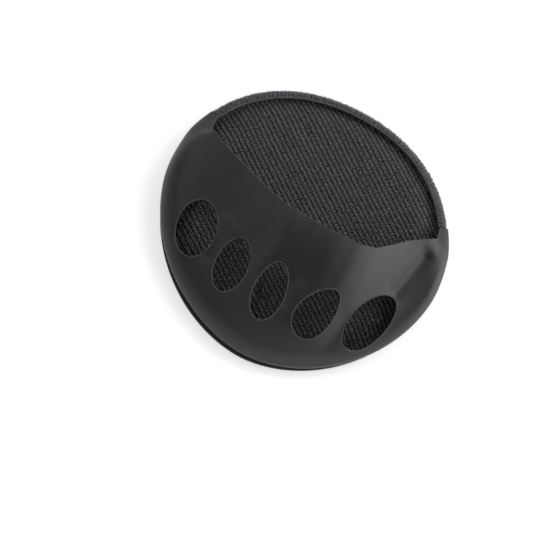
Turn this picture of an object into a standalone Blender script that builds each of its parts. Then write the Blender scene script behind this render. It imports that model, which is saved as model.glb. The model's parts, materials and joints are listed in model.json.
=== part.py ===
"""Forefoot half sock pad: a padded sole with a stretch cover over the toes, five toe holes and a bound heel edge.

Units are metres and +Z is up. X runs across the foot, with the big toe on the right, and -Y points to the toes.
The origin is the middle of the bounding box, at the height of the underside.
"""

import math

import bmesh
import bpy
from mathutils import Matrix, Vector

# Sole outline, seen from above: two half superellipses that meet on the widest line
SOLE_WIDTH = 0.1030
BACK_DEPTH = 0.0496  # from the widest line to the heel side
FRONT_DEPTH = 0.0535  # from the widest line to the toe side
BACK_ROUNDNESS = 2.13  # exponent of the half superellipse, 2 for a true ellipse
FRONT_ROUNDNESS = 1.86
CORNER_ANGLE = math.radians(26)  # from the widest line back to the two rear corners of the cover

# Layers of the sole
GAP = 0.0003  # clearance between two pieces that lie against each other
OUTSOLE_THICKNESS = 0.0012
PAD_THICKNESS = 0.0045  # at the crown
FLANGE_THICKNESS = 0.0015  # the pad is pressed to this where it is sewn
FLANGE_WIDTH = 0.0026
SHOULDER_WIDTH = 0.0085  # from the flange to the crown
SHOULDER_FULLNESS = 0.9  # exponent of the shoulder's rise, under 1 for a fuller one
EDGE_ROUNDING = 0.0004

# The sole curls up towards its edge, more at the heel side
CURL_WIDTH = 0.022
BACK_CURL = 0.0026
FRONT_CURL = 0.0008

# Binding of the heel side: a C section that grips the edges of outsole and pad
BINDING_WALL = 0.0010
BINDING_WIDTH = 0.0033
BINDING_TIP = 0.0004  # bevel of the two inner edges
BINDING_END_GAP = 0.00045  # between the binding's ends and the corners of the cover
HANDOVER_SHARE = 0.25  # of the heel side, where the pad's edge moves over from the cover to the binding

# Cover
COVER_WALL = 0.0013
COVER_RISE = 0.0204  # of the rear edge at its highest, over the top of the side roll
EDGE_DEPTH = 0.0303  # from the line through the rear corners forward to the middle of the rear edge
LIP_WIDTH = 0.0012  # of the sole's rim that shows in front of the cover
CORNER_WIDTH = 0.0028  # of the cover at its two rear corners, in from the outline
SIDE_BULGE = 0.0021  # how far the side roll stands out past its foot
ROLL_WIDTH = 0.0100
ROLL_HEIGHT = 0.0085
ROLL_LIMIT = 0.75  # the side roll takes at most this share of the way to the rear edge
TOE_SLOPE = 1.8  # exponent of the fall from the rear edge to the toes

# Toe holes
HOLE_WIDTH = 0.0130
HOLE_LENGTH = 0.0185
HOLE_REACH = 0.0400  # of the cutters above the sole

# Mesh
SMOOTH_ANGLE = math.radians(40)
SOLE_STEPS = 72
SHOULDER_STEPS = 5
OUTSOLE_RINGS = (1.0, 0.55, 0.25)  # shares of CURL_WIDTH where the sole layers have a ring of edges
PAD_RINGS = (1.0, 0.3)
BINDING_STEPS = 40
COVER_COLUMNS = 64
COVER_ROWS = 16
ROLL_SHARE = 0.33  # of the rows that make the side roll
EVEN_COLUMNS = 0.1  # 0 crowds the columns towards the ends of the rear edge, 1 spaces them evenly
CORNER_SHARE = 3 / COVER_COLUMNS  # of the rim, from a rear corner to where the rear edge turns inward
HOLE_SIDES = 28
RIM_ROUNDING = 0.03  # reach, along the first column, over which the corners of RIM are rounded
REAR_ROUNDING = 0.045  # the same for the rise in REAR_EDGE

# The cover's rim, from the left rear corner round the toes to the right one:
# share of the way round, foot inset / LIP_WIDTH, bulge / SIDE_BULGE, roll width / ROLL_WIDTH,
# roll height / ROLL_HEIGHT
RIM = (
    (0.00, 0.40, 0.30, 0.50, 0.28),
    (0.05, 0.40, 0.60, 0.75, 0.64),
    (0.12, 0.42, 1.00, 1.00, 1.00),
    (0.25, 0.65, 0.55, 0.80, 0.88),
    (0.38, 0.95, 0.15, 0.45, 0.64),
    (0.50, 1.00, 0.25, 0.36, 0.56),
    (0.62, 0.92, 0.55, 0.45, 0.64),
    (0.75, 0.65, 0.80, 0.60, 0.88),
    (0.88, 0.42, 1.00, 0.70, 1.00),
    (0.95, 0.40, 0.90, 0.60, 0.64),
    (1.00, 0.40, 0.45, 0.50, 0.28),
)

# The cover's rear edge, from left to right:
# across / half SOLE_WIDTH, forward of the corner line / EDGE_DEPTH, rise over the side roll / COVER_RISE
REAR_EDGE = (
    (-0.862, 0.28, 0.05),
    (-0.785, 0.36, 0.07),
    (-0.596, 0.52, 0.19),
    (-0.506, 0.60, 0.32),
    (-0.328, 0.79, 0.62),
    (-0.162, 0.93, 0.87),
    (-0.086, 0.96, 0.94),
    (0.064, 0.99, 0.99),
    (0.215, 1.00, 0.99),
    (0.366, 0.98, 0.89),
    (0.477, 0.89, 0.72),
    (0.563, 0.73, 0.52),
    (0.687, 0.49, 0.24),
    (0.822, 0.31, 0.04),
    (0.867, 0.24, 0.00),
)

# Folds and dents of the cover: a soft furrow or ridge along a line.
# Start and end: across / half SOLE_WIDTH and forward of the widest line / FRONT_DEPTH.
# Then width / ROLL_WIDTH and height / COVER_RISE, below zero for a furrow.
FOLDS = (
    ("crease_behind_big_toe", (0.74, 0.20), (0.83, -0.12), 0.26, -0.075),
    ("ridge_in_the_middle", (-0.12, 0.46), (-0.12, 0.16), 0.30, 0.030),
    ("dent_between_toes_one_and_two", (-0.49, 0.45), (-0.49, 0.54), 0.27, -0.050),
    ("dent_between_toes_three_and_four", (0.12, 0.56), (0.13, 0.68), 0.28, -0.045),
    ("dent_between_toes_four_and_five", (0.49, 0.56), (0.47, 0.72), 0.28, -0.055),
    ("swell_behind_toe_two", (-0.49, 0.31), (-0.44, 0.35), 0.28, 0.045),
    ("swell_behind_toe_three", (-0.18, 0.48), (-0.19, 0.54), 0.24, 0.035),
)

# Toe holes, from the small toe to the big one: name, across / half SOLE_WIDTH, forward / FRONT_DEPTH,
# width / HOLE_WIDTH, length / HOLE_LENGTH, lean of the top to the right in degrees, fullness of the toe end
TOE_HOLES = (
    ("little_toe", -0.651, 0.406, 1.06, 1.12, -10.0, 0.01),
    ("fourth_toe", -0.337, 0.552, 0.85, 1.02, -6.5, 0.06),
    ("middle_toe", -0.042, 0.627, 0.83, 1.00, -5.0, 0.09),
    ("second_toe", 0.298, 0.615, 0.92, 1.01, 24.0, 0.20),
    ("big_toe", 0.657, 0.465, 0.93, 1.36, 22.0, 0.09),
)

HALF_WIDTH = SOLE_WIDTH / 2
WIDEST_Y = (FRONT_DEPTH - BACK_DEPTH) / 2
SPIN_RADIUS = HALF_WIDTH  # sections are turned on this radius, then laid on the outline
EDGE_ZONE = CURL_WIDTH  # insets up to this are kept as lengths, the rest is stretched to the outline
ROUND_THE_TOES = math.pi + 2 * CORNER_ANGLE


def between(low, high, share):
    """The value a share of the way from low to high."""
    return low + (high - low) * share


def read_row(table, key):
    """The values of a table at a key in its first column, on straight lines between its rows."""
    if key <= table[0][0]:
        return table[0][1:]
    for before, after in zip(table, table[1:]):
        if key <= after[0]:
            share = (key - before[0]) / (after[0] - before[0])
            return tuple(between(a, b, share) for a, b in zip(before[1:], after[1:]))
    return table[-1][1:]


def read_soft(table, key, reach):
    """The same, with the corners at the rows rounded over a reach on each side."""
    samples = [read_row(table, key + reach * step / 3) for step in range(-3, 4)]
    return tuple(sum(column) / len(samples) for column in zip(*samples))


def outline_radius(angle):
    """Distance of the sole's outline from the middle of the widest line."""
    depth, roundness = (BACK_DEPTH, BACK_ROUNDNESS) if math.sin(angle) > 0 else (FRONT_DEPTH, FRONT_ROUNDNESS)
    across = abs(math.cos(angle) / HALF_WIDTH) ** roundness
    along = abs(math.sin(angle) / depth) ** roundness
    return (across + along) ** (-1 / roundness)


def laid_on_outline(angle, inset):
    """The place in plan of a point at an inset from the sole's outline."""
    reach = outline_radius(angle)
    if inset > EDGE_ZONE:
        radius = (reach - EDGE_ZONE) * (SPIN_RADIUS - inset) / (SPIN_RADIUS - EDGE_ZONE)
    else:
        radius = reach - inset
    return radius * math.cos(angle), WIDEST_Y + radius * math.sin(angle)


def curl(angle, inset):
    """Rise of the sole near its edge, where it curls up."""
    at_edge = between(FRONT_CURL, BACK_CURL, (1 + math.sin(angle)) / 2)
    return at_edge * max(0.0, 1 - inset / CURL_WIDTH) ** 2


def toe_side(angle):
    """Share of the way from the rear corners, and all of the heel side, to the tip of the toe side."""
    at_corner = math.sin(CORNER_ANGLE)
    return max(0.0, (at_corner - math.sin(angle)) / (at_corner + 1))


def outsole_edge(angle):
    """Inset of the outsole's edge: inside the binding at the heel, out to the lip at the toes."""
    return (BINDING_WALL + GAP) * (1 - toe_side(angle)) ** 2


def rim_angle(share):
    """Direction of a place on the cover's rim, from the left rear corner round the toes."""
    return math.pi - CORNER_ANGLE + ROUND_THE_TOES * share


def rim_share(angle):
    """The reverse of rim_angle, held within the rim."""
    turn = (angle - (math.pi - CORNER_ANGLE)) % (2 * math.pi)
    if turn > ROUND_THE_TOES:
        past = turn - ROUND_THE_TOES
        return 1.0 if past < (2 * math.pi - ROUND_THE_TOES) / 2 else 0.0
    return turn / ROUND_THE_TOES


def foot_inset(angle):
    """Inset of the cover's foot from the sole's outline."""
    return read_row(RIM, rim_share(angle))[0] * LIP_WIDTH


def pad_edge(angle):
    """Inset of the pad's edge: in the binding at the heel, inside the cover's foot elsewhere."""
    in_binding = BINDING_WALL + GAP
    in_cover = foot_inset(angle) + COVER_WALL + 2 * GAP
    at_corner = math.sin(CORNER_ANGLE)
    behind_corner = max(0.0, math.sin(angle) - at_corner) / (1 - at_corner)
    return between(in_cover, in_binding, min(1.0, behind_corner / HANDOVER_SHARE))


def arc(centre, radius, start, end, steps):
    """Points of an arc in a section, angles in degrees from the direction of the outline."""
    turns = [math.radians(between(start, end, step / steps)) for step in range(steps + 1)]
    return [(centre[0] - radius * math.cos(turn), centre[1] + radius * math.sin(turn)) for turn in turns]


def new_object(name, shape, collection, colour, roughness):
    """An object from a bmesh, with its material, in a collection."""
    mesh = bpy.data.meshes.new(name)
    shape.to_mesh(mesh)
    shape.free()
    made = bpy.data.objects.new(name, mesh)
    collection.objects.link(made)
    material = bpy.data.materials.new(name)
    material.use_nodes = True
    finish = material.node_tree.nodes["Principled BSDF"]
    finish.inputs["Base Color"].default_value = (*colour, 1.0)
    finish.inputs["Roughness"].default_value = roughness
    finish.inputs["Metallic"].default_value = 0.0
    made.data.materials.append(material)
    mesh.shade_smooth()
    mesh.set_sharp_from_angle(angle=SMOOTH_ANGLE)
    return made


def spun_section(section, steps, start=0.0, sweep=2 * math.pi, closed=False):
    """A section of (inset, height) points turned about the upright axis: all round, or as a capped length."""
    shape = bmesh.new()
    verts = [shape.verts.new((SPIN_RADIUS - inset, 0.0, height)) for inset, height in section]
    ends = zip(verts, verts[1:] + verts[:1]) if closed else zip(verts, verts[1:])
    edges = [shape.edges.new(pair) for pair in ends]
    if closed:
        bmesh.ops.rotate(shape, verts=verts, cent=(0, 0, 0), matrix=Matrix.Rotation(start, 3, "Z"))
    bmesh.ops.spin(
        shape,
        geom=verts + edges,
        cent=(0, 0, 0),
        axis=(0, 0, 1),
        dvec=(0, 0, 0),
        angle=sweep,
        steps=steps,
        use_merge=not closed,
        use_duplicate=False,
    )
    bmesh.ops.remove_doubles(shape, verts=shape.verts, dist=1e-6)
    if closed:
        open_edges = [edge for edge in shape.edges if edge.is_boundary]
        bmesh.ops.holes_fill(shape, edges=open_edges, sides=0)
    bmesh.ops.recalc_face_normals(shape, faces=shape.faces)
    return shape


def lay_on_sole(shape, own_edge):
    """Moves a turned shape onto the sole: its edge to own_edge inside the outline, its height up the curl."""
    for vert in shape.verts:
        angle = math.atan2(vert.co.y, vert.co.x)
        inset = SPIN_RADIUS - math.hypot(vert.co.x, vert.co.y)
        inset += own_edge(angle) * (1 - inset / SPIN_RADIUS)
        x, y = laid_on_outline(angle, inset)
        vert.co = (x, y, vert.co.z + curl(angle, inset))


def make_outsole(collection):
    """The smooth bottom layer, with a rounded edge."""
    half = OUTSOLE_THICKNESS / 2
    insets = [SPIN_RADIUS] + [CURL_WIDTH * share for share in OUTSOLE_RINGS]
    underside = [(inset, 0.0) for inset in insets]
    rim = arc((half, half), half, -90, 90, 4)
    upper = [(inset, OUTSOLE_THICKNESS) for inset in reversed(insets)]
    shape = spun_section(underside + rim + upper, SOLE_STEPS)
    lay_on_sole(shape, outsole_edge)
    return new_object("outsole", shape, collection, (0.035, 0.035, 0.037), 0.85)


def make_insole_pad(collection):
    """The padded layer under the foot: a crown that falls over a shoulder to a thin sewn flange."""
    base = OUTSOLE_THICKNESS + GAP
    top = base + FLANGE_THICKNESS
    crown = base + PAD_THICKNESS
    underside = [(SPIN_RADIUS, base)] + [(CURL_WIDTH * share, base) for share in PAD_RINGS]
    rim = arc((EDGE_ROUNDING, base + EDGE_ROUNDING), EDGE_ROUNDING, -90, 0, 1)
    rim += arc((EDGE_ROUNDING, top - EDGE_ROUNDING), EDGE_ROUNDING, 0, 90, 1)
    shoulder = []
    for step in range(SHOULDER_STEPS + 1):
        share = step / SHOULDER_STEPS
        rise = math.sin(share * math.pi / 2) ** SHOULDER_FULLNESS
        shoulder.append((FLANGE_WIDTH + SHOULDER_WIDTH * share, between(top, crown, rise)))
    upper = [(EDGE_ZONE, crown), (SPIN_RADIUS, crown)]
    shape = spun_section(underside + rim + shoulder + upper, SOLE_STEPS)
    lay_on_sole(shape, pad_edge)
    return new_object("insole_pad", shape, collection, (0.028, 0.028, 0.030), 0.95)


def make_edge_binding(collection):
    """The sewn edge round the heel side, a C section from one rear corner of the cover to the other."""
    slot_top = OUTSOLE_THICKNESS + FLANGE_THICKNESS + 2 * GAP
    low, high = -GAP - BINDING_WALL, slot_top + BINDING_WALL
    bend, tip = BINDING_WALL, BINDING_TIP
    outside = [(BINDING_WIDTH - tip, low)]
    outside += arc((bend, low + bend), bend, -90, 0, 3) + arc((bend, high - bend), bend, 0, 90, 3)
    outside += [(BINDING_WIDTH - tip, high), (BINDING_WIDTH, high - tip)]
    inside = [(BINDING_WIDTH, slot_top), (BINDING_WALL, slot_top), (BINDING_WALL, -GAP), (BINDING_WIDTH, -GAP)]
    clear = BINDING_END_GAP / HALF_WIDTH
    shape = spun_section(
        outside + inside + [(BINDING_WIDTH, low + tip)],
        BINDING_STEPS,
        start=CORNER_ANGLE + clear,
        sweep=math.pi - 2 * (CORNER_ANGLE + clear),
        closed=True,
    )
    lay_on_sole(shape, lambda angle: 0.0)
    return new_object("edge_binding", shape, collection, (0.045, 0.045, 0.047), 0.9)


def rear_edge_at(across):
    """How far forward the rear edge lies, and how far the cover rises, at a share of the half width."""
    forward, _ = read_row(REAR_EDGE, across)
    _, rise = read_soft(REAR_EDGE, across, REAR_ROUNDING)
    corner_y = WIDEST_Y + outline_radius(CORNER_ANGLE) * math.sin(CORNER_ANGLE)
    return corner_y - forward * EDGE_DEPTH, rise * COVER_RISE


def fold_height(x, y):
    """The sum of the folds and dents at a place in plan."""
    height = 0.0
    for _, start, end, width, rise in FOLDS:
        a = Vector((start[0] * HALF_WIDTH, WIDEST_Y - start[1] * FRONT_DEPTH))
        b = Vector((end[0] * HALF_WIDTH, WIDEST_Y - end[1] * FRONT_DEPTH))
        along = max(0.0, min(1.0, (Vector((x, y)) - a).dot(b - a) / (b - a).length_squared))
        distance = (Vector((x, y)) - between(a, b, along)).length
        height += rise * COVER_RISE * math.exp(-((distance / (width * ROLL_WIDTH)) ** 2))
    return height


def toe_rim_y(x):
    """The cover's toe-side foot line at a place across."""
    share = min(1.0, abs(x) / HALF_WIDTH)
    return WIDEST_Y - (FRONT_DEPTH - LIP_WIDTH) * (1 - share**FRONT_ROUNDNESS) ** (1 / FRONT_ROUNDNESS)


def dome(x, y):
    """Height of the cover over the top of its side roll: the arch across, falling towards the toes."""
    edge_y, rise = rear_edge_at(x / HALF_WIDTH)
    front_y = toe_rim_y(x)
    share = max(0.0, min(1.0, (y - front_y) / max(edge_y - front_y, ROLL_WIDTH)))
    return rise * (1 - (1 - share) ** TOE_SLOPE)


def rear_edge_end(round_share):
    """Where the cover's rear edge lies in plan, at a share of the way round its rim."""
    last = round(round_share)  # 0 for the left corner, 1 for the right one
    from_corner = abs(round_share - last) / CORNER_SHARE
    if from_corner < 1:
        turn_across = REAR_EDGE[-last][0]
        corner = Vector(laid_on_outline(rim_angle(last), CORNER_WIDTH))
        turn = Vector((turn_across * HALF_WIDTH, rear_edge_at(turn_across)[0]))
        return between(corner, turn, from_corner)
    share = (round_share - CORNER_SHARE) / (1 - 2 * CORNER_SHARE)
    eased = between((1 - math.cos(math.pi * share)) / 2, share, EVEN_COLUMNS)
    across = between(REAR_EDGE[0][0], REAR_EDGE[-1][0], eased)
    return Vector((across * HALF_WIDTH, rear_edge_at(across)[0]))


def cover_point(round_share, up_share, depth):
    """A point of the cover, from its foot at 0 to its rear edge at 1, at a depth under its outer face."""
    angle = rim_angle(round_share)
    inset, bulge, width, height = read_soft(RIM, round_share, RIM_ROUNDING)
    inset, bulge = inset * LIP_WIDTH, bulge * SIDE_BULGE
    width, height = width * ROLL_WIDTH, height * ROLL_HEIGHT
    foot = Vector(laid_on_outline(angle, inset))
    foot_z = OUTSOLE_THICKNESS + GAP + curl(angle, inset)
    edge = rear_edge_end(round_share)
    span = (edge - foot).length
    width = min(width, ROLL_LIMIT * span + bulge)
    turn_in = math.acos(1 - bulge / width)
    flat = width - bulge
    if up_share < ROLL_SHARE:
        turn = between(-turn_in, math.pi / 2, up_share / ROLL_SHARE)
        inward = flat - (width - depth) * math.cos(turn)
        lift = (height - depth) * (math.sin(turn) + math.sin(turn_in)) / (1 + math.sin(turn_in))
    else:
        inward = between(flat, span, (up_share - ROLL_SHARE) / (1 - ROLL_SHARE))
        lift = height - depth
    place = foot + (edge - foot) * (inward / span)
    soft = max(0.0, min(1.0, inward / ROLL_WIDTH))
    return place.x, place.y, foot_z + lift + dome(*place) + soft * fold_height(*place)


def make_toe_hole_cutter(collection, row):
    """An upright egg-shaped cutter for one toe hole."""
    name, across, forward, width, length, lean, fullness = row
    shape = bmesh.new()
    bmesh.ops.create_cone(
        shape, cap_ends=True, segments=HOLE_SIDES, radius1=1.0, radius2=1.0, depth=HOLE_REACH
    )
    lean = math.radians(lean)
    for vert in shape.verts:
        side = vert.co.x * (1 - fullness * vert.co.y) * width * HOLE_WIDTH / 2
        along = vert.co.y * length * HOLE_LENGTH / 2
        vert.co.x = across * HALF_WIDTH + side * math.cos(lean) + along * math.sin(lean)
        vert.co.y = WIDEST_Y - forward * FRONT_DEPTH - side * math.sin(lean) + along * math.cos(lean)
        vert.co.z += OUTSOLE_THICKNESS + HOLE_REACH / 2
    cutter = new_object(f"cutter_{name}", shape, collection, (0.5, 0.5, 0.5), 0.5)
    cutter.hide_render = True
    cutter.display_type = "WIRE"


def make_toe_cover(collection, cutters):
    """The stretch cover: a square sheet of side 1, laid from rim to rear edge and cut for the toes."""
    shape = bmesh.new()
    bmesh.ops.create_grid(shape, x_segments=COVER_COLUMNS, y_segments=COVER_ROWS, size=0.5)
    inner = bmesh.ops.extrude_face_region(shape, geom=shape.faces[:])
    inner_verts = [part for part in inner["geom"] if isinstance(part, bmesh.types.BMVert)]
    bmesh.ops.translate(shape, verts=inner_verts, vec=(0, 0, COVER_WALL))
    for vert in shape.verts:
        vert.co = cover_point(vert.co.x + 0.5, vert.co.y + 0.5, vert.co.z)
    bmesh.ops.recalc_face_normals(shape, faces=shape.faces)
    bmesh.ops.triangulate(shape, faces=shape.faces)
    cover = new_object("toe_cover", shape, collection, (0.050, 0.050, 0.052), 0.8)
    holes = cover.modifiers.new("toe_holes", "BOOLEAN")
    holes.operation = "DIFFERENCE"
    holes.operand_type = "COLLECTION"
    holes.collection = cutters
    holes.solver = "EXACT"


def new_collection(name):
    """A collection in the scene."""
    made = bpy.data.collections.new(name)
    bpy.context.scene.collection.children.link(made)
    return made


def main():
    for old in list(bpy.data.objects):
        bpy.data.objects.remove(old)
    parts = new_collection("metatarsal_pad")
    cutters = new_collection("toe_hole_cutters")
    for row in TOE_HOLES:
        make_toe_hole_cutter(cutters, row)
    make_outsole(parts)
    make_insole_pad(parts)
    make_edge_binding(parts)
    make_toe_cover(parts, cutters)


main()
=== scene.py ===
"""Looks of a black forefoot half sock pad: knit cover over the toes, loop-knit padded sole and overlocked heel edge.

Lengths are in metres, +Z is up, +X runs across the foot to the big toe and -Y points to the toes.
"""

import json
import logging
import math
import random
from dataclasses import dataclass
from enum import Enum
from typing import Callable, Iterable, Optional, Sequence

import bmesh
import bpy
import numpy as np
from mathutils import Matrix, Vector
from mathutils.bvhtree import BVHTree

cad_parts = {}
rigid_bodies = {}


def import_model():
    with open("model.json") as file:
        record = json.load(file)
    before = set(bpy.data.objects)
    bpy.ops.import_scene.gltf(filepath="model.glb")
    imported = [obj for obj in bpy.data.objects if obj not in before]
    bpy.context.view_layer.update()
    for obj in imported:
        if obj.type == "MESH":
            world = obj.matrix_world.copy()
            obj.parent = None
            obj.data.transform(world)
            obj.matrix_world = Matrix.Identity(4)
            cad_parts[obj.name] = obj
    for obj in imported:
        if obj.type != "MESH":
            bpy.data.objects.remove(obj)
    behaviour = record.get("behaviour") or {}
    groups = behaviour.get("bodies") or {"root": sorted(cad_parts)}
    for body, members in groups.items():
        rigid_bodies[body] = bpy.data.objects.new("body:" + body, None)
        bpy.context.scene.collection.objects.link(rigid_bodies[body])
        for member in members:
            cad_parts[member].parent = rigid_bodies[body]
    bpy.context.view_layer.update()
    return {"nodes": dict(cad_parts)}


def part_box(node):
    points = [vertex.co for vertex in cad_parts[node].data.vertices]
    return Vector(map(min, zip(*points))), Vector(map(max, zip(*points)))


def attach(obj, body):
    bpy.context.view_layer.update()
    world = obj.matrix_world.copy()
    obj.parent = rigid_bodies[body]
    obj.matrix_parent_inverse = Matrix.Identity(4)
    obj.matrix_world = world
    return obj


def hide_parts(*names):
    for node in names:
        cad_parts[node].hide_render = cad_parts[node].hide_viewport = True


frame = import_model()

LOG = logging.getLogger("forefoot_pad")
MM = 0.001
PIXELS = 551  # side of the square picture

Point = tuple[float, float, float]
Row = tuple[float, ...]


def between(low: float, high: float, share: float) -> float:
    """Gives the value a share of the way from low to high, for numbers and vectors."""
    return low + (high - low) * share


def ease(share: float) -> float:
    """Gives a smooth step from 0 to 1."""
    held = max(0.0, min(1.0, share))
    return held * held * (3 - 2 * held)


def read_row(table: Sequence[Row], key: float) -> Row:
    """Reads a table at a key in its first column, on straight lines between its rows.

    Args:
        table: rows in rising order of their first column.
        key: the value looked up in that column.

    Returns:
        The other columns at the key.
    """
    if key <= table[0][0]:
        return table[0][1:]
    for before, after in zip(table, table[1:]):
        if key <= after[0]:
            share = (key - before[0]) / (after[0] - before[0])
            return tuple(between(a, b, share) for a, b in zip(before[1:], after[1:]))
    return table[-1][1:]


def read_soft(table: Sequence[Row], key: float, reach: float) -> Row:
    """Reads a table like read_row, with the corners at its rows rounded over a reach on each side."""
    samples = [read_row(table, key + reach * step / 3) for step in range(-3, 4)]
    return tuple(sum(column) / len(samples) for column in zip(*samples))


@dataclass(frozen=True)
class SoleForm:
    """The sole's outline from above, its curl and its layers, the same as in the CAD model."""

    width: float = 0.1030
    back_depth: float = 0.0496
    front_depth: float = 0.0535
    back_roundness: float = 2.13
    front_roundness: float = 1.86
    corner_angle: float = math.radians(26)
    gap: float = 0.0003
    outsole_thickness: float = 0.0012
    pad_thickness: float = 0.0045
    flange_thickness: float = 0.0015
    flange_width: float = 0.0026
    shoulder_width: float = 0.0085
    curl_width: float = 0.022
    back_curl: float = 0.0026
    front_curl: float = 0.0008
    binding_wall: float = 0.0010
    binding_width: float = 0.0033

    @property
    def half_width(self) -> float:
        """Half the width of the sole."""
        return self.width / 2

    @property
    def widest_y(self) -> float:
        """Where the widest line lies."""
        return (self.front_depth - self.back_depth) / 2

    @property
    def round_the_toes(self) -> float:
        """The turn from the left rear corner round the toes to the right one."""
        return math.pi + 2 * self.corner_angle

    def outline_radius(self, angle: float) -> float:
        """Gives the distance of the outline from the middle of the widest line."""
        if math.sin(angle) > 0:
            depth, roundness = self.back_depth, self.back_roundness
        else:
            depth, roundness = self.front_depth, self.front_roundness
        across = abs(math.cos(angle) / self.half_width) ** roundness
        along = abs(math.sin(angle) / depth) ** roundness
        return (across + along) ** (-1 / roundness)

    def place(self, angle: float, inset: float) -> Vector:
        """Gives the place in plan of a point at an inset from the outline."""
        reach = self.outline_radius(angle)
        radius = reach - inset
        if inset > self.curl_width:
            radius = (reach - self.curl_width) * (self.half_width - inset) / (self.half_width - self.curl_width)
        return Vector((radius * math.cos(angle), self.widest_y + radius * math.sin(angle)))

    def curl(self, angle: float, inset: float) -> float:
        """Gives the rise of the sole near its edge, where it curls up."""
        at_edge = between(self.front_curl, self.back_curl, (1 + math.sin(angle)) / 2)
        return at_edge * max(0.0, 1 - inset / self.curl_width) ** 2

    def toe_side(self, angle: float) -> float:
        """Gives the share of the way from the rear corners to the tip of the toe side."""
        at_corner = math.sin(self.corner_angle)
        return max(0.0, (at_corner - math.sin(angle)) / (at_corner + 1))

    def rim_angle(self, share: float) -> float:
        """Gives the direction of a place on the cover's rim, from the left rear corner round the toes."""
        return math.pi - self.corner_angle + self.round_the_toes * share

    def rim_share(self, angle: float) -> float:
        """Gives the reverse of rim_angle, held within the rim."""
        turn = (angle - (math.pi - self.corner_angle)) % (2 * math.pi)
        if turn <= self.round_the_toes:
            return turn / self.round_the_toes
        past = turn - self.round_the_toes
        return 1.0 if past < (2 * math.pi - self.round_the_toes) / 2 else 0.0


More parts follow.
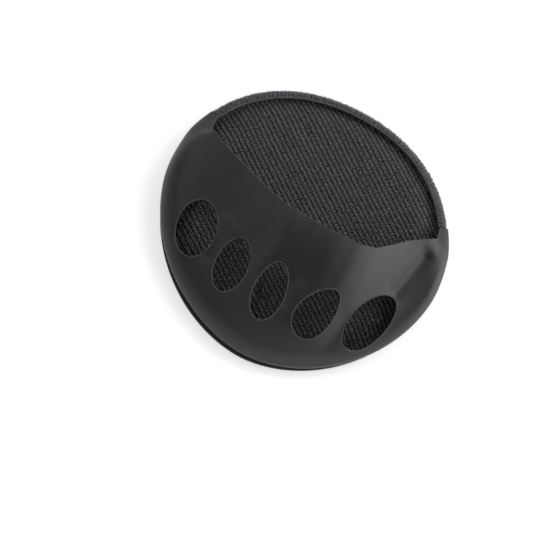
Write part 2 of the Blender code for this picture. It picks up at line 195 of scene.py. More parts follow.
@dataclass(frozen=True)
class CoverForm:
    """The stretch cover's shape, worked out as in the CAD model, with the finer creases added."""

    sole: SoleForm = SoleForm()
    wall: float = 0.0013
    rise: float = 0.0204
    edge_depth: float = 0.0303
    lip_width: float = 0.0012
    corner_width: float = 0.0028
    side_bulge: float = 0.0021
    roll_width: float = 0.0100
    roll_height: float = 0.0085
    toe_slope: float = 1.8
    hole_width: float = 0.0130
    hole_length: float = 0.0185
    roll_share: float = 0.33
    even_columns: float = 0.1
    corner_share: float = 3 / 64

    # share of the way round, foot inset, bulge, roll width, roll height, each as a share of its named size
    RIM = (
        (0.00, 0.40, 0.30, 0.50, 0.28),
        (0.05, 0.40, 0.60, 0.75, 0.64),
        (0.12, 0.42, 1.00, 1.00, 1.00),
        (0.25, 0.65, 0.55, 0.80, 0.88),
        (0.38, 0.95, 0.15, 0.45, 0.64),
        (0.50, 1.00, 0.25, 0.36, 0.56),
        (0.62, 0.92, 0.55, 0.45, 0.64),
        (0.75, 0.65, 0.80, 0.60, 0.88),
        (0.88, 0.42, 1.00, 0.70, 1.00),
        (0.95, 0.40, 0.90, 0.60, 0.64),
        (1.00, 0.40, 0.45, 0.50, 0.28),
    )

    # across / half width, forward of the corner line / edge_depth, rise over the side roll / rise
    REAR_EDGE = (
        (-0.862, 0.28, 0.05),
        (-0.785, 0.36, 0.07),
        (-0.596, 0.52, 0.19),
        (-0.506, 0.60, 0.32),
        (-0.328, 0.79, 0.62),
        (-0.162, 0.93, 0.87),
        (-0.086, 0.96, 0.94),
        (0.064, 0.99, 0.99),
        (0.215, 1.00, 0.99),
        (0.366, 0.98, 0.89),
        (0.477, 0.89, 0.72),
        (0.563, 0.73, 0.52),
        (0.687, 0.49, 0.24),
        (0.822, 0.31, 0.04),
        (0.867, 0.24, 0.00),
    )

    # start and end across / half width and forward / front depth, width / roll_width, height / rise
    FOLDS = (
        ("crease_behind_big_toe", (0.74, 0.20), (0.83, -0.12), 0.26, -0.075),
        ("ridge_in_the_middle", (-0.12, 0.46), (-0.12, 0.16), 0.30, 0.030),
        ("dent_between_toes_one_and_two", (-0.49, 0.45), (-0.49, 0.54), 0.27, -0.050),
        ("dent_between_toes_three_and_four", (0.12, 0.56), (0.13, 0.68), 0.28, -0.045),
        ("dent_between_toes_four_and_five", (0.49, 0.56), (0.47, 0.72), 0.28, -0.055),
        ("swell_behind_toe_two", (-0.49, 0.31), (-0.44, 0.35), 0.28, 0.045),
        ("swell_behind_toe_three", (-0.18, 0.48), (-0.19, 0.54), 0.24, 0.035),
    )

    # name, across / half width, forward / front depth, width, length, lean in degrees, fullness of the toe end
    TOE_HOLES = (
        ("little_toe", -0.651, 0.406, 1.06, 1.12, -10.0, 0.01),
        ("fourth_toe", -0.337, 0.552, 0.85, 1.02, -6.5, 0.06),
        ("middle_toe", -0.042, 0.627, 0.83, 1.00, -5.0, 0.09),
        ("second_toe", 0.298, 0.615, 0.92, 1.01, 24.0, 0.20),
        ("big_toe", 0.657, 0.465, 0.93, 1.36, 22.0, 0.09),
    )

    def foot_inset(self, angle: float) -> float:
        """Gives the inset of the cover's foot from the outline."""
        return read_row(self.RIM, self.sole.rim_share(angle))[0] * self.lip_width

    def rear_edge_at(self, across: float) -> tuple[float, float]:
        """Gives the rear edge's place along the foot and its rise, at a share of the half width."""
        forward, _ = read_row(self.REAR_EDGE, across)
        _, rise = read_soft(self.REAR_EDGE, across, 0.045)
        corner = self.sole.corner_angle
        corner_y = self.sole.widest_y + self.sole.outline_radius(corner) * math.sin(corner)
        return corner_y - forward * self.edge_depth, rise * self.rise

    def fold_height(self, x: float, y: float) -> float:
        """Adds up the folds and dents at a place in plan."""
        height = 0.0
        here = Vector((x, y))
        for _, start, end, width, rise in self.FOLDS:
            a = self.in_plan(*start)
            b = self.in_plan(*end)
            along = max(0.0, min(1.0, (here - a).dot(b - a) / (b - a).length_squared))
            distance = (here - between(a, b, along)).length
            height += rise * self.rise * math.exp(-((distance / (width * self.roll_width)) ** 2))
        return height

    def in_plan(self, across: float, forward: float) -> Vector:
        """Gives the place in plan of a pair of shares, across and forward of the widest line."""
        return Vector((across * self.sole.half_width, self.sole.widest_y - forward * self.sole.front_depth))

    def toe_rim_y(self, x: float) -> float:
        """Gives the cover's foot line on the toe side, at a place across."""
        share = min(1.0, abs(x) / self.sole.half_width)
        power = self.sole.front_roundness
        return self.sole.widest_y - (self.sole.front_depth - self.lip_width) * (1 - share**power) ** (1 / power)

    def dome(self, x: float, y: float) -> float:
        """Gives the cover's height over its side roll: the arch across, falling towards the toes."""
        edge_y, rise = self.rear_edge_at(x / self.sole.half_width)
        front_y = self.toe_rim_y(x)
        share = max(0.0, min(1.0, (y - front_y) / max(edge_y - front_y, self.roll_width)))
        return rise * (1 - (1 - share) ** self.toe_slope)

    def rear_edge_end(self, round_share: float) -> Vector:
        """Gives the rear edge's place in plan, at a share of the way round the rim."""
        last = round(round_share)
        from_corner = abs(round_share - last) / self.corner_share
        if from_corner < 1:
            turn_across = self.REAR_EDGE[-last][0]
            corner = self.sole.place(self.sole.rim_angle(last), self.corner_width)
            turn = Vector((turn_across * self.sole.half_width, self.rear_edge_at(turn_across)[0]))
            return between(corner, turn, from_corner)
        share = (round_share - self.corner_share) / (1 - 2 * self.corner_share)
        eased = between((1 - math.cos(math.pi * share)) / 2, share, self.even_columns)
        across = between(self.REAR_EDGE[0][0], self.REAR_EDGE[-1][0], eased)
        return Vector((across * self.sole.half_width, self.rear_edge_at(across)[0]))

    def point(self, round_share: float, up_share: float, depth: float) -> Point:
        """Gives a point of the cover.

        Args:
            round_share: the way round the rim, from the left rear corner at 0 to the right one at 1.
            up_share: the way from the foot at 0 to the rear edge at 1.
            depth: how far under the outer face.

        Returns:
            The point in the frame of the part.
        """
        angle = self.sole.rim_angle(round_share)
        inset, bulge, width, height = read_soft(self.RIM, round_share, 0.03)
        inset, bulge = inset * self.lip_width, bulge * self.side_bulge
        width, height = width * self.roll_width, height * self.roll_height
        foot = self.sole.place(angle, inset)
        foot_z = self.sole.outsole_thickness + self.sole.gap + self.sole.curl(angle, inset)
        edge = self.rear_edge_end(round_share)
        span = (edge - foot).length
        width = min(width, 0.75 * span + bulge)
        turn_in = math.acos(1 - bulge / width)
        flat = width - bulge
        if up_share < self.roll_share:
            turn = between(-turn_in, math.pi / 2, up_share / self.roll_share)
            inward = flat - (width - depth) * math.cos(turn)
            lift = (height - depth) * (math.sin(turn) + math.sin(turn_in)) / (1 + math.sin(turn_in))
        else:
            inward = between(flat, span, (up_share - self.roll_share) / (1 - self.roll_share))
            lift = height - depth
        place = foot + (edge - foot) * (inward / span)
        soft = max(0.0, min(1.0, inward / self.roll_width))
        return place.x, place.y, foot_z + lift + self.dome(*place) + soft * self.fold_height(*place)

    def hole_rim(self, row: Row, turn: float, wider: float = 0.0) -> Vector:
        """Gives a point in plan of a toe hole's egg-shaped rim, moved out by wider."""
        _, across, forward, width, length, lean, fullness = row
        side = math.cos(turn) * (1 - fullness * math.sin(turn)) * (width * self.hole_width / 2 + wider)
        along = math.sin(turn) * (length * self.hole_length / 2 + wider)
        lean = math.radians(lean)
        turned = Vector(
            (side * math.cos(lean) + along * math.sin(lean), -side * math.sin(lean) + along * math.cos(lean))
        )
        return self.in_plan(across, forward) + turned


def linear(hex_colour: str) -> tuple[float, float, float, float]:
    """Turns an sRGB hex colour into a linear one with full alpha."""
    parts = [int(hex_colour[place : place + 2], 16) / 255 for place in (1, 3, 5)]
    red, green, blue = (part / 12.92 if part <= 0.04045 else ((part + 0.055) / 1.055) ** 2.4 for part in parts)
    return red, green, blue, 1.0


def add_node(tree: bpy.types.NodeTree, kind: str, links: Optional[dict] = None, **settings: object) -> bpy.types.Node:
    """Adds one node to a tree.

    Args:
        tree: the node tree.
        kind: the node's type name, without the ShaderNode before it.
        links: for each input, by name or number, an output socket or a plain value.
        settings: the node's own properties.

    Returns:
        The new node.
    """
    node = tree.nodes.new("ShaderNode" + kind)
    for name, value in settings.items():
        setattr(node, name, value)
    for name, value in (links or {}).items():
        if isinstance(value, bpy.types.NodeSocket):
            tree.links.new(value, node.inputs[name])
        else:
            node.inputs[name].default_value = value
    return node


def calculate(tree: bpy.types.NodeTree, operation: str, *values: object) -> bpy.types.NodeSocket:
    """Adds a sum to a tree and gives its result."""
    node = add_node(tree, "Math", dict(enumerate(values)), operation=operation)
    return node.outputs[0]


class Finish(Enum):
    """The four cloths and threads of the pad, by the record's material slots."""

    COVER_KNIT = "cover_knit"
    LINING_KNIT = "lining_knit"
    BINDING_THREAD = "binding_thread"
    SOLE_FABRIC = "sole_fabric"


def new_material(name: str) -> tuple[bpy.types.Material, bpy.types.NodeTree, bpy.types.Node]:
    """Makes an empty material and gives it, its tree and its shader."""
    material = bpy.data.materials.new(name)
    material.use_nodes = True
    tree = material.node_tree
    tree.nodes.clear()
    shader = add_node(tree, "BsdfPrincipled")
    add_node(tree, "OutputMaterial", {"Surface": shader.outputs[0]})
    return material, tree, shader


@dataclass(frozen=True)
class WarpKnitNylon:
    """Black nylon and elastane warp knit, dyed in the piece: fine wales with a dull satin gloss."""

    name: str = "cover_nylon_warp_knit"
    dark: str = "#08080a"
    light: str = "#1f1f22"
    wale_mm: float = 0.45
    stitch_mm: float = 0.32
    roughness: float = 0.46
    bump_mm: float = 0.026

    def build(self) -> bpy.types.Material:
        """Makes the material from the cloth's own coordinates, in millimetres."""
        material, tree, shader = new_material(self.name)
        cloth = add_node(tree, "UVMap", uv_map="cloth_mm").outputs[0]
        split = add_node(tree, "SeparateXYZ", {0: cloth})
        wander = add_node(tree, "TexNoise", {"Vector": cloth, "Scale": 0.35, "Detail": 3.0}).outputs[0]
        across = calculate(tree, "ADD", split.outputs[0], calculate(tree, "MULTIPLY", wander, 0.5))
        wales = calculate(tree, "SINE", calculate(tree, "MULTIPLY", across, 2 * math.pi / self.wale_mm))
        courses = calculate(tree, "SINE", calculate(tree, "MULTIPLY", split.outputs[1], 2 * math.pi / self.stitch_mm))
        loops = calculate(tree, "ADD", calculate(tree, "MULTIPLY", wales, 0.7), calculate(tree, "MULTIPLY", courses, 0.3))
        grain = add_node(tree, "TexNoise", {"Vector": cloth, "Scale": 1.6, "Detail": 4.0, "Roughness": 0.65}).outputs[0]
        height = calculate(tree, "ADD", loops, calculate(tree, "MULTIPLY", grain, 1.6))
        bump = add_node(tree, "Bump", {"Height": height, "Distance": self.bump_mm * MM, "Strength": 1.0})
        tone = calculate(tree, "ADD", calculate(tree, "MULTIPLY", loops, 0.2), grain)
        colour = add_node(tree, "ValToRGB", {0: tone})
        colour.color_ramp.elements[0].position = 0.30
        colour.color_ramp.elements[0].color = linear(self.dark)
        colour.color_ramp.elements[1].position = 0.75
        colour.color_ramp.elements[1].color = linear(self.light)
        tree.links.new(colour.outputs[0], shader.inputs["Base Color"])
        tree.links.new(bump.outputs[0], shader.inputs["Normal"])
        shader.inputs["Roughness"].default_value = self.roughness
        shader.inputs["Sheen Weight"].default_value = 0.02
        shader.inputs["Sheen Roughness"].default_value = 0.3
        return material


@dataclass(frozen=True)
class LoopKnitLining:
    """Black polyester loop knit: rows of slanting loops over gaps; its colour follows the loops' height, with painted
    shade in the gaps and a painted highlight on the loop tops.
    """

    name: str = "lining_polyester_loop_knit"
    # Gap colour: painted shade between the loops; loop colour: the knit's own near-black; the light end: a painted
    # highlight on the loop tops.
    gap: str = "#010102"
    loop: str = "#0f0f11"
    loop_top_painted_highlight: str = "#86868c"
    row_mm: float = 1.75
    loop_mm: float = 0.82  # drawn a little coarser than the real 0.7 mm, so that single loops show
    turn: float = math.radians(-50)  # of the rows from the foot's length
    roughness: float = 0.8
    bump_mm: float = 0.42

    def build(self) -> bpy.types.Material:
        """Makes the material from the cloth's own coordinates, in millimetres."""
        material, tree, shader = new_material(self.name)
        cloth = add_node(tree, "UVMap", uv_map="cloth_mm").outputs[0]
        turned = add_node(tree, "VectorRotate", {"Vector": cloth, "Angle": self.turn}, rotation_type="Z_AXIS")
        split = add_node(tree, "SeparateXYZ", {0: turned.outputs[0]})
        wander = add_node(tree, "TexNoise", {"Vector": cloth, "Scale": 0.9, "Detail": 2.0}).outputs[0]
        row = calculate(tree, "DIVIDE", split.outputs[0], self.row_mm)
        local = calculate(tree, "ABSOLUTE", calculate(tree, "SUBTRACT", calculate(tree, "FRACT", row), 0.5))
        slant = calculate(tree, "MULTIPLY", local, 1.7)
        along = calculate(tree, "DIVIDE", split.outputs[1], self.loop_mm)
        phase = calculate(tree, "ADD", calculate(tree, "ADD", along, slant), calculate(tree, "MULTIPLY", wander, 2.2))
        loops = calculate(tree, "SINE", calculate(tree, "MULTIPLY", phase, 2 * math.pi))
        crown = calculate(tree, "SUBTRACT", 1.0, calculate(tree, "POWER", calculate(tree, "MULTIPLY", local, 2.0), 3.0))
        yarn = add_node(tree, "TexNoise", {"Vector": cloth, "Scale": 2.3, "Detail": 3.0, "Roughness": 0.7}).outputs[0]
        shaped = calculate(tree, "MULTIPLY", calculate(tree, "ADD", calculate(tree, "MULTIPLY", loops, 0.5), 0.5), crown)
        height = calculate(tree, "ADD", shaped, calculate(tree, "MULTIPLY", yarn, 2.2))
        bump = add_node(tree, "Bump", {"Height": height, "Distance": self.bump_mm * MM, "Strength": 1.0})
        # Colour from height: painted shade in the low gaps, painted highlight on the high loop tops.
        tone = calculate(tree, "SUBTRACT", height, 0.85)
        colour = add_node(tree, "ValToRGB", {0: tone})
        ramp = colour.color_ramp
        ramp.elements[0].position = 0.30
        ramp.elements[0].color = linear(self.gap)
        ramp.elements[1].position = 0.95
        ramp.elements[1].color = linear(self.loop_top_painted_highlight)
        ramp.elements.new(0.60).color = linear(self.loop)
        tree.links.new(colour.outputs[0], shader.inputs["Base Color"])
        tree.links.new(bump.outputs[0], shader.inputs["Normal"])
        shader.inputs["Roughness"].default_value = self.roughness
        shader.inputs["Specular IOR Level"].default_value = 0.25
        return material


@dataclass(frozen=True)
class TexturedThread:
    """Black textured polyester thread, sewn on an overlock: hairy and matt, with a random ply tone between the dark and
    light greys that each use sets; the lighter greys are partly a painted highlight, the darkest core partly painted
    shade.
    """

    name: str
    dark: str = "#1b1b1d"
    light: str = "#3c3c40"
    ply_mm: float = 0.25
    roughness: float = 0.8
    sheen: float = 0.5

    def build(self) -> bpy.types.Material:
        """Makes the material, with the thread's plies from the object's own coordinates."""
        material, tree, shader = new_material(self.name)
        place = add_node(tree, "TexCoord").outputs["Object"]
        scale = 1 / (self.ply_mm * MM)
        plies = add_node(tree, "TexNoise", {"Vector": place, "Scale": scale, "Detail": 3.0}).outputs[0]
        colour = add_node(tree, "ValToRGB", {0: plies})
        colour.color_ramp.elements[0].position = 0.35
        colour.color_ramp.elements[0].color = linear(self.dark)
        colour.color_ramp.elements[1].position = 0.70
        colour.color_ramp.elements[1].color = linear(self.light)
        bump = add_node(tree, "Bump", {"Height": plies, "Distance": 0.05 * MM, "Strength": 1.0})
        tree.links.new(colour.outputs[0], shader.inputs["Base Color"])
        tree.links.new(bump.outputs[0], shader.inputs["Normal"])
        shader.inputs["Roughness"].default_value = self.roughness
        shader.inputs["Sheen Weight"].default_value = self.sheen
        shader.inputs["Sheen Roughness"].default_value = 0.4
        return material


@dataclass(frozen=True)
class SmoothSoleKnit:
    """Black brushed polyester knit under the sole: matt, with a faint fine rib."""

    name: str = "sole_brushed_knit"
    dark: str = "#141416"
    light: str = "#1f1f22"
    rib_mm: float = 0.8
    roughness: float = 0.8

    def build(self) -> bpy.types.Material:
        """Makes the material from the object's own coordinates."""
        material, tree, shader = new_material(self.name)
        place = add_node(tree, "TexCoord").outputs["Object"]
        split = add_node(tree, "SeparateXYZ", {0: place})
        rib = calculate(tree, "SINE", calculate(tree, "MULTIPLY", split.outputs[0], 2 * math.pi / (self.rib_mm * MM)))
        nap = add_node(tree, "TexNoise", {"Vector": place, "Scale": 2200.0, "Detail": 3.0}).outputs[0]
        height = calculate(tree, "ADD", calculate(tree, "MULTIPLY", rib, 0.4), nap)
        bump = add_node(tree, "Bump", {"Height": height, "Distance": 0.06 * MM, "Strength": 1.0})
        colour = add_node(tree, "ValToRGB", {0: nap})
        colour.color_ramp.elements[0].position = 0.3
        colour.color_ramp.elements[0].color = linear(self.dark)
        colour.color_ramp.elements[1].position = 0.7
        colour.color_ramp.elements[1].color = linear(self.light)
        tree.links.new(colour.outputs[0], shader.inputs["Base Color"])
        tree.links.new(bump.outputs[0], shader.inputs["Normal"])
        shader.inputs["Roughness"].default_value = self.roughness
        shader.inputs["Sheen Weight"].default_value = 0.3
        return material


def new_piece(name: str, shape: bmesh.types.BMesh, material: bpy.types.Material, sharp: float = 50.0) -> bpy.types.Object:
    """Makes an object from a bmesh, smooth but for edges sharper than an angle in degrees."""
    mesh = bpy.data.meshes.new(name)
    shape.to_mesh(mesh)
    shape.free()
    mesh.shade_smooth()
    mesh.set_sharp_from_angle(angle=math.radians(sharp))
    made = bpy.data.objects.new(name, mesh)
    bpy.context.scene.collection.objects.link(made)
    made.data.materials.append(material)
    return made


def settle(piece: bpy.types.Object, slot: Finish, *nodes: str) -> bpy.types.Object:
    """Puts a piece on the part's one body and hides the CAD nodes that it stands for."""
    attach(piece, "root")
    if nodes:
        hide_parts(*nodes)
    LOG.info("%s: %d faces", piece.name, len(piece.data.polygons))
    return piece


def add_tube(shape: bmesh.types.BMesh, path: Sequence[Vector], radius: float, sides: int = 6, closed: bool = False) -> None:
    """Adds a round tube along a path to a bmesh.

    Args:
        shape: the bmesh that the tube joins.
        path: the centre line.
        radius: the tube's radius.
        sides: sides of its section.
        closed: whether the path's end meets its start.
    """
    rings = []
    count = len(path)
    for index, here in enumerate(path):
        before = path[index - 1] if closed or index else path[0]
        after = path[(index + 1) % count] if closed or index + 1 < count else path[-1]
        ahead = (after - before).normalized()
        side = ahead.cross(Vector((0, 0, 1)))
        side = side.normalized() if side.length > 0.05 else ahead.cross(Vector((1, 0, 0))).normalized()
        up = side.cross(ahead)
        turns = [2 * math.pi * step / sides for step in range(sides)]
        rings.append([shape.verts.new(here + (side * math.cos(t) + up * math.sin(t)) * radius) for t in turns])
    pairs = list(zip(rings, rings[1:] + rings[:1])) if closed else list(zip(rings, rings[1:]))
    for first, second in pairs:
        for step in range(sides):
            nxt = (step + 1) % sides
            shape.faces.new((first[step], first[nxt], second[nxt], second[step]))
    if not closed:
        shape.faces.new(list(reversed(rings[0])))
        shape.faces.new(rings[-1])


@dataclass
class ToeCover:
    """The stretch cover over the toes, with its five cut holes and the fibres along its cut edges."""

    form: CoverForm
    columns: int = 288
    rows: int = 72
    hole_sides: int = 72
    cutter_height: float = 0.045
    fibre_radius: float = 0.00022

    def build(self, knit: bpy.types.Material, cut_edge: bpy.types.Material) -> list[bpy.types.Object]:
        """Makes the cover and the fibres of its cut edges.

        Args:
            knit: the cloth's material.
            cut_edge: the material of the cut fibres, a lighter grey that paints the highlight on the cut edges.

        Returns:
            The cover and the cut edges.
        """
        whole = self.make_sheet(knit)
        surface = self.outer_surface(whole)
        cover = self.cut_holes(whole)
        edges = self.make_cut_edges(surface, cut_edge)
        settle(cover, Finish.COVER_KNIT, "toe_cover")
        settle(edges, Finish.COVER_KNIT)
        return [cover, edges]

    def make_sheet(self, knit: bpy.types.Material) -> bpy.types.Object:
        """Lays a flat slab of cloth, in shares and depth, on the cover's form."""
        shape = bmesh.new()
        bmesh.ops.create_grid(shape, x_segments=self.columns, y_segments=self.rows, size=0.5)
        inner = bmesh.ops.extrude_face_region(shape, geom=shape.faces[:])
        inner_verts = [part for part in inner["geom"] if isinstance(part, bmesh.types.BMVert)]
        bmesh.ops.translate(shape, verts=inner_verts, vec=(0, 0, self.form.wall))
        for vert in shape.verts:
            vert.co = self.form.point(vert.co.x + 0.5, vert.co.y + 0.5, vert.co.z)
        bmesh.ops.recalc_face_normals(shape, faces=shape.faces)
        cloth = shape.loops.layers.uv.new("cloth_mm")
        for face in shape.faces:
            for loop in face.loops:
                place = loop.vert.co
                loop[cloth].uv = (place.x / MM, (place.y + place.z * 0.6) / MM)
        return new_piece("toe_cover_knit", shape, knit)

    def outer_surface(self, whole: bpy.types.Object) -> BVHTree:
        """Gives a tree of the uncut cover, to find the height of its outer face."""
        mesh = whole.data
        return BVHTree.FromPolygons([v.co.copy() for v in mesh.vertices], [tuple(p.vertices) for p in mesh.polygons])

    def cut_holes(self, whole: bpy.types.Object) -> bpy.types.Object:
        """Cuts the toe holes and applies the result to the mesh."""
        cutters = bpy.data.collections.new("toe_hole_cutters")
        for row in self.form.TOE_HOLES:
            shape = bmesh.new()
            bmesh.ops.create_cone(
                shape, cap_ends=True, segments=self.hole_sides, radius1=1.0, radius2=1.0, depth=self.cutter_height
            )
            for vert in shape.verts:
                plan = self.form.hole_rim(row, math.atan2(vert.co.y, vert.co.x))
                vert.co = (plan.x, plan.y, vert.co.z + self.cutter_height / 2)
            mesh = bpy.data.meshes.new("cutter")
            shape.to_mesh(mesh)
            shape.free()
            cutters.objects.link(bpy.data.objects.new("cutter", mesh))
        cut = whole.modifiers.new("toe_holes", "BOOLEAN")
        cut.operation = "DIFFERENCE"
        cut.operand_type = "COLLECTION"
        cut.collection = cutters
        cut.solver = "EXACT"
        cut_mesh = bpy.data.meshes.new_from_object(whole.evaluated_get(bpy.context.evaluated_depsgraph_get()))
        whole.modifiers.clear()
        whole.data = cut_mesh
        whole.data.name = whole.name
        for cutter in list(cutters.objects):
            bpy.data.objects.remove(cutter)
        bpy.data.collections.remove(cutters)
        whole.data.set_sharp_from_angle(angle=math.radians(50))
        return whole

    def make_cut_edges(self, surface: BVHTree, cut_edge: bpy.types.Material) -> bpy.types.Object:
        """Lays a bead of cut fibres along each hole's rim and along the rear edge, in a lighter grey as a painted
        highlight on the lit cut faces.
        """
        shape = bmesh.new()
        sunk = self.fibre_radius * 0.45
        for row in self.form.TOE_HOLES:
            path = []
            for step in range(self.hole_sides * 2):
                plan = self.form.hole_rim(row, math.pi * step / self.hole_sides, wider=self.fibre_radius * 0.3)
                hit = surface.ray_cast(Vector((plan.x, plan.y, 0.1)), Vector((0, 0, -1)))[0]
                path.append(Vector((plan.x, plan.y, hit.z - sunk)))
            add_tube(shape, path, self.fibre_radius, closed=True)
        steps = self.columns * 2
        rear = [Vector(self.form.point(step / steps, 0.9995, 0.0)) for step in range(steps + 1)]
        add_tube(shape, [place - Vector((0, 0, sunk)) for place in rear], self.fibre_radius)
        return new_piece("toe_cover_cut_edges", shape, cut_edge)


@dataclass
class InsolePad:
    """The padded layer under the foot, faced with the loop knit."""

    sole: SoleForm
    cover: CoverForm
    around: int = 288
    rings: int = 96
    edge_rounding: float = 0.0004

    def edge_inset(self, angle: float) -> float:
        """Gives the inset of the pad's edge: in the binding at the heel, inside the cover's foot elsewhere."""
        in_binding = self.sole.binding_wall + self.sole.gap
        in_cover = self.cover.foot_inset(angle) + self.cover.wall + 2 * self.sole.gap
        corner = math.sin(self.sole.corner_angle)
        behind_corner = max(0.0, math.sin(angle) - corner) / (1 - corner)
        return between(in_cover, in_binding, min(1.0, 4 * behind_corner))

    def top_height(self, inset: float) -> float:
        """Gives the height of the upper face at an inset from the pad's edge, without the curl."""
        base = self.sole.outsole_thickness + self.sole.gap
        flange = base + self.sole.flange_thickness
        crown = base + self.sole.pad_thickness
        share = (inset - self.sole.flange_width) / self.sole.shoulder_width
        if share <= 0:
            return flange - self.edge_rounding * max(0.0, 1 - inset / self.edge_rounding)
        return between(flange, crown, math.sin(min(1.0, share) * math.pi / 2) ** 0.9)

    def build(self, lining: bpy.types.Material) -> bpy.types.Object:
        """Makes the pad with rings that are closer near its edge."""
        shape = bmesh.new()
        base = self.sole.outsole_thickness + self.sole.gap
        half = self.sole.half_width
        insets = [half * (1 - (1 - ring / self.rings) ** 0.75) for ring in range(self.rings)]
        section = [(half, base), (self.sole.curl_width, base), (self.sole.curl_width / 3, base)]
        section += [(self.edge_rounding, base), (0.0, base + self.edge_rounding)]
        section += [(inset, self.top_height(inset)) for inset in insets]
        centre_low = shape.verts.new((0, self.sole.widest_y, base))
        centre_top = shape.verts.new((0, self.sole.widest_y, base + self.sole.pad_thickness))
        loops = []
        for step in range(self.around):
            angle = 2 * math.pi * step / self.around
            loops.append([])
            for own_inset, height in section[1:]:
                inset = own_inset + self.edge_inset(angle) * (1 - own_inset / half)
                place = self.sole.place(angle, inset)
                loops[-1].append(shape.verts.new((*place, height + self.sole.curl(angle, inset))))
        for first, second in zip(loops, loops[1:] + loops[:1]):
            shape.faces.new((centre_low, second[0], first[0]))
            for index in range(len(first) - 1):
                shape.faces.new((first[index], second[index], second[index + 1], first[index + 1]))
            shape.faces.new((first[-1], second[-1], centre_top))
        bmesh.ops.recalc_face_normals(shape, faces=shape.faces)
        cloth = shape.loops.layers.uv.new("cloth_mm")
        for face in shape.faces:
            for loop in face.loops:
                loop[cloth].uv = (loop.vert.co.x / MM, loop.vert.co.y / MM)
        pad = new_piece("insole_pad_lining", shape, lining)
        settle(pad, Finish.LINING_KNIT, "insole_pad")
        return pad


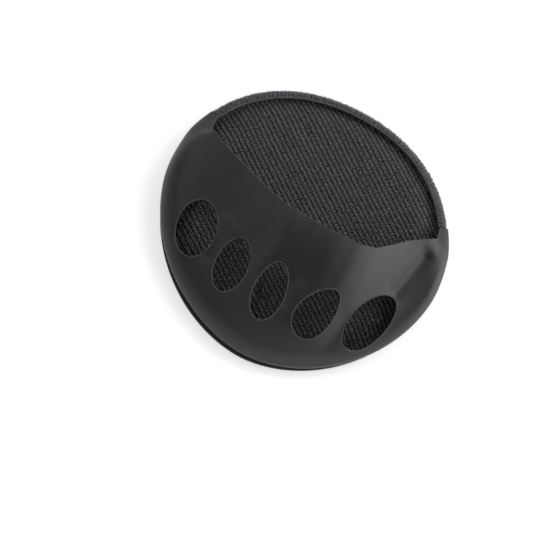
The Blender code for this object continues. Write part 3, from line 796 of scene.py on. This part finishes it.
@dataclass
class EdgeBinding:
    """The overlocked heel edge: a folded core and the threads that wrap it."""

    sole: SoleForm
    stitches: int = 112
    thread_radius: float = 0.00028
    hairs: int = 900
    seed: int = 7

    def section_point(self, angle: float, along: float, proud: float) -> Vector:
        """Gives a point on the binding's outer face.

        Args:
            angle: the direction from the middle of the widest line.
            along: 0 at the inner edge of the underside, 1 at the inner edge of the upper side.
            proud: how far outside the face.

        Returns:
            The point in the frame of the part.
        """
        sole = self.sole
        low = -sole.gap - sole.binding_wall
        high = sole.outsole_thickness + sole.flange_thickness + 2 * sole.gap + sole.binding_wall
        bend = (high - low) / 2
        flat = sole.binding_width - bend
        length = 2 * flat + math.pi * bend
        travelled = along * length
        if travelled < flat:
            inset, height = sole.binding_width - travelled, low - proud
        elif travelled < flat + math.pi * bend:
            turn = (travelled - flat) / bend
            inset = bend - (bend + proud) * math.sin(turn)
            height = (low + high) / 2 - (bend + proud) * math.cos(turn)
        else:
            inset, height = bend + travelled - flat - math.pi * bend, high + proud
        place = sole.place(angle, max(inset, -proud))
        return Vector((*place, height + sole.curl(angle, max(0.0, inset))))

    def angles(self, count: int) -> list[float]:
        """Gives evenly spaced directions from the right rear corner round the heel to the left one."""
        clear = 1.5 * self.sole.gap / self.sole.half_width
        start = self.sole.corner_angle + clear
        sweep = math.pi - 2 * start
        return [start + sweep * (step + 0.5) / count for step in range(count)]

    def build(self, core: bpy.types.Material, thread: bpy.types.Material) -> list[bpy.types.Object]:
        """Makes the core, the wrapped threads and the hairs on them."""
        made = [self.make_core(core), self.make_threads(thread), self.make_hairs(thread)]
        settle(made[0], Finish.BINDING_THREAD, "edge_binding")
        for piece in made[1:]:
            settle(piece, Finish.BINDING_THREAD)
        return made

    def make_core(self, core: bpy.types.Material) -> bpy.types.Object:
        """Makes the folded core: a C section round the edges of sole and pad."""
        shape = bmesh.new()
        sole = self.sole
        slot_top = sole.outsole_thickness + sole.flange_thickness + 2 * sole.gap
        steps, turns = 160, 14
        loops = []
        clear = 1.5 * sole.gap / sole.half_width
        start = sole.corner_angle + clear
        for step in range(steps + 1):
            angle = between(start, math.pi - start, step / steps)
            ring = [self.section_point(angle, share / turns, 0.0) for share in range(turns + 1)]
            slot = [(sole.binding_width, slot_top), (sole.binding_wall, slot_top)]
            slot += [(sole.binding_wall, -sole.gap), (sole.binding_width, -sole.gap)]
            for inset, height in slot:
                ring.append(Vector((*sole.place(angle, inset), height + sole.curl(angle, inset))))
            loops.append([shape.verts.new(place) for place in ring])
        for first, second in zip(loops, loops[1:]):
            count = len(first)
            for index in range(count):
                nxt = (index + 1) % count
                shape.faces.new((first[index], first[nxt], second[nxt], second[index]))
        shape.faces.new(list(reversed(loops[0])))
        shape.faces.new(loops[-1])
        bmesh.ops.recalc_face_normals(shape, faces=shape.faces)
        return new_piece("edge_binding_core", shape, core)

    def make_threads(self, thread: bpy.types.Material) -> bpy.types.Object:
        """Wraps two slanting threads round the edge for each stitch, and a chain along its inner side."""
        shape = bmesh.new()
        rng = random.Random(self.seed)
        pitch = (math.pi - 2 * self.sole.corner_angle) / self.stitches
        bends = 15
        for angle in self.angles(self.stitches):
            for lean, weight in ((0.38, 1.0), (-0.50, 0.6)):
                drift = rng.uniform(-0.18, 0.18)
                radius = self.thread_radius * weight * rng.uniform(0.85, 1.15)
                path = []
                for bend in range(bends + 1):
                    along = between(0.10, 0.985, bend / bends)
                    slant = (lean * (bend / bends - 0.5) * 2 + drift) * pitch
                    path.append(self.section_point(angle + slant, along, radius * rng.uniform(0.5, 0.9)))
                add_tube(shape, path, radius, sides=5)
        chain = []
        links = self.stitches * 4
        for index, angle in enumerate(self.angles(links)):
            wave = math.sin(index * math.pi / 2)
            chain.append(self.section_point(angle, 0.975 + 0.02 * wave, self.thread_radius * 1.1))
        add_tube(shape, chain, self.thread_radius, sides=5)
        return new_piece("edge_binding_threads", shape, thread)

    def make_hairs(self, thread: bpy.types.Material) -> bpy.types.Object:
        """Adds the short loose fibres that make the edge fuzzy."""
        shape = bmesh.new()
        rng = random.Random(self.seed + 1)
        start = self.sole.corner_angle
        for _ in range(self.hairs):
            angle = rng.uniform(start + 0.02, math.pi - start - 0.02)
            along = rng.uniform(0.35, 0.98)
            length = rng.uniform(0.3, 0.9) * MM
            lean, tilt = rng.uniform(-0.02, 0.02), rng.uniform(-0.08, 0.08)
            path = []
            for step in range(4):
                share = step / 3
                path.append(self.section_point(angle + lean * share, along + tilt * share, length * share**0.8))
            add_tube(shape, path, 0.035 * MM, sides=3)
        return new_piece("edge_binding_hairs", shape, thread)


@dataclass
class Outsole:
    """The smooth bottom layer, whose rim shows as a thin lip in front of the cover."""

    sole: SoleForm
    around: int = 288

    def build(self, knit: bpy.types.Material) -> bpy.types.Object:
        """Makes the layer as a turned section laid on the outline."""
        shape = bmesh.new()
        thick = self.sole.outsole_thickness
        half = thick / 2
        flats = [self.sole.curl_width * share for share in (1.0, 0.8, 0.6, 0.45, 0.3, 0.18, 0.09)]
        section = [(inset, 0.0) for inset in flats]
        turns = [math.pi * step / 8 for step in range(9)]
        section += [(half - half * math.sin(turn), half - half * math.cos(turn)) for turn in turns]
        section += [(inset, thick) for inset in reversed(flats)]
        low = shape.verts.new((0, self.sole.widest_y, 0))
        top = shape.verts.new((0, self.sole.widest_y, thick))
        loops = []
        for step in range(self.around):
            angle = 2 * math.pi * step / self.around
            own_edge = (self.sole.binding_wall + self.sole.gap) * (1 - self.sole.toe_side(angle)) ** 2
            loops.append([])
            for own_inset, height in section:
                inset = own_inset + own_edge * (1 - own_inset / self.sole.half_width)
                place = self.sole.place(angle, inset)
                loops[-1].append(shape.verts.new((*place, height + self.sole.curl(angle, inset))))
        for first, second in zip(loops, loops[1:] + loops[:1]):
            shape.faces.new((low, second[0], first[0]))
            for index in range(len(first) - 1):
                shape.faces.new((first[index], second[index], second[index + 1], first[index + 1]))
            shape.faces.new((first[-1], second[-1], top))
        bmesh.ops.recalc_face_normals(shape, faces=shape.faces)
        return settle(new_piece("outsole_knit", shape, knit), Finish.SOLE_FABRIC, "outsole")


@dataclass(frozen=True)
class SoftBox:
    """A rectangular studio light that points at the pad."""

    name: str
    place: Point
    width: float
    height: float
    power: float

    def build(self) -> None:
        """Makes the light."""
        data = bpy.data.lights.new(self.name, "AREA")
        data.shape = "RECTANGLE"
        data.size, data.size_y = self.width, self.height
        data.energy = self.power
        light = bpy.data.objects.new(self.name, data)
        light.location = self.place
        light.rotation_mode = "QUATERNION"
        light.rotation_quaternion = (Vector((0, 0, 0.01)) - Vector(self.place)).to_track_quat("-Z", "Y")
        bpy.context.scene.collection.objects.link(light)


@dataclass(frozen=True)
class Studio:
    """The pale table, the soft lights and the camera at the photo's angle."""

    camera_place: Point = (-0.03276, -0.23922, 0.54813)
    camera_right: Point = (0.8953, 0.3930, 0.2095)
    camera_up: Point = (-0.4422, 0.8403, 0.3135)
    focal_share: float = 2.83 * 600 / PIXELS  # focal length / sensor width, 2.83 pixels per mm seen from 600 mm
    sensor_mm: float = 36.0
    floor_size: float = 6.0
    floor_colour: str = "#f4f4f4"
    floor_glow: float = 0.50
    dark_side: Point = (0.256, -0.217, 0.942)  # where the room is dark, near straight up
    room: float = 1.4
    dark_room: float = 0.0
    right_side: float = 0.55  # how much brighter the room is to the right

    def build(self) -> None:
        """Makes the floor, the lights, the surroundings and the camera."""
        self.make_floor()
        for light in (
            SoftBox("key_right_of_heel", (0.51, 0.62, 1.02), 0.35, 0.35, 2.0),
            SoftBox("low_right", (1.05, 0.45, 0.22), 0.5, 0.3, 3.5),
        ):
            light.build()
        self.make_surroundings()
        self.make_camera()
        bpy.context.scene.view_settings.view_transform = "Standard"

    def make_floor(self) -> None:
        """Makes the pale table that the pad lies on."""
        shape = bmesh.new()
        bmesh.ops.create_grid(shape, x_segments=1, y_segments=1, size=self.floor_size / 2)
        material, _, shader = new_material("pale_table")
        shader.inputs["Base Color"].default_value = linear(self.floor_colour)
        shader.inputs["Roughness"].default_value = 0.9
        shader.inputs["Emission Color"].default_value = (1.0, 1.0, 1.0, 1.0)
        shader.inputs["Emission Strength"].default_value = self.floor_glow
        floor = new_piece("table", shape, material)
        low = min(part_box(node)[0].z for node in frame["nodes"])
        floor.location.z = low - 0.0001

    def make_surroundings(self) -> None:
        """Makes a room that is bright all round and dark over the pad."""
        world = bpy.data.worlds.new("studio")
        bpy.context.scene.world = world
        world.use_nodes = True
        tree = world.node_tree
        tree.nodes.clear()
        way = add_node(tree, "TexCoord").outputs["Generated"]
        parts = add_node(tree, "SeparateXYZ", {0: way})
        towards = add_node(tree, "VectorMath", {0: way, 1: self.dark_side}, operation="DOT_PRODUCT").outputs["Value"]
        level = add_node(tree, "MapRange", {0: towards, 1: 0.55, 2: 0.93, 3: self.room, 4: self.dark_room}).outputs[0]
        sideways = calculate(tree, "ADD", 1.0, calculate(tree, "MULTIPLY", parts.outputs[0], self.right_side))
        glow = add_node(tree, "Background", {"Strength": calculate(tree, "MULTIPLY", level, sideways)})
        add_node(tree, "OutputWorld", {"Surface": glow.outputs[0]})

    def make_camera(self) -> None:
        """Makes the camera at the photo's viewing angle."""
        data = bpy.data.cameras.new("camera")
        data.sensor_width = self.sensor_mm
        data.lens = self.focal_share * self.sensor_mm
        data.clip_start = 0.01
        camera = bpy.data.objects.new("camera", data)
        right, up = Vector(self.camera_right).normalized(), Vector(self.camera_up).normalized()
        axes = Matrix((right, up, right.cross(up))).transposed().to_4x4()
        camera.matrix_world = Matrix.Translation(self.camera_place) @ axes
        bpy.context.scene.collection.objects.link(camera)
        bpy.context.scene.camera = camera


def main() -> None:
    """Builds the pad piece by piece, then the studio."""
    logging.basicConfig(level=logging.INFO, format="%(message)s")
    sole = SoleForm()
    cover = CoverForm()
    lining = LoopKnitLining().build()
    # The cut-edge fibres are lighter grey than the cover: a painted highlight along the cut edges.
    cut_fibres_painted_highlight = TexturedThread("cut_edge_fibres_painted_highlight", dark="#262629", light="#56565b", sheen=0.4).build()
    pad = InsolePad(sole, cover).build(lining)
    # The core is kept darker than its threads: painted shade between the stitches.
    binding_core_painted_shade = TexturedThread("binding_core_painted_shade", dark="#060607", light="#121213", sheen=0.1).build()
    # The thread's light grey is partly a painted highlight on the wrapped stitches.
    overlock_thread_painted_highlight = TexturedThread("binding_overlock_thread", dark="#202023", light="#7c7c82").build()
    EdgeBinding(sole).build(binding_core_painted_shade, overlock_thread_painted_highlight)
    Outsole(sole).build(SmoothSoleKnit().build())
    knit_cover, edges = ToeCover(cover).build(WarpKnitNylon().build(), cut_fibres_painted_highlight)
    Studio().build()


if __name__ == "__main__":
    main()
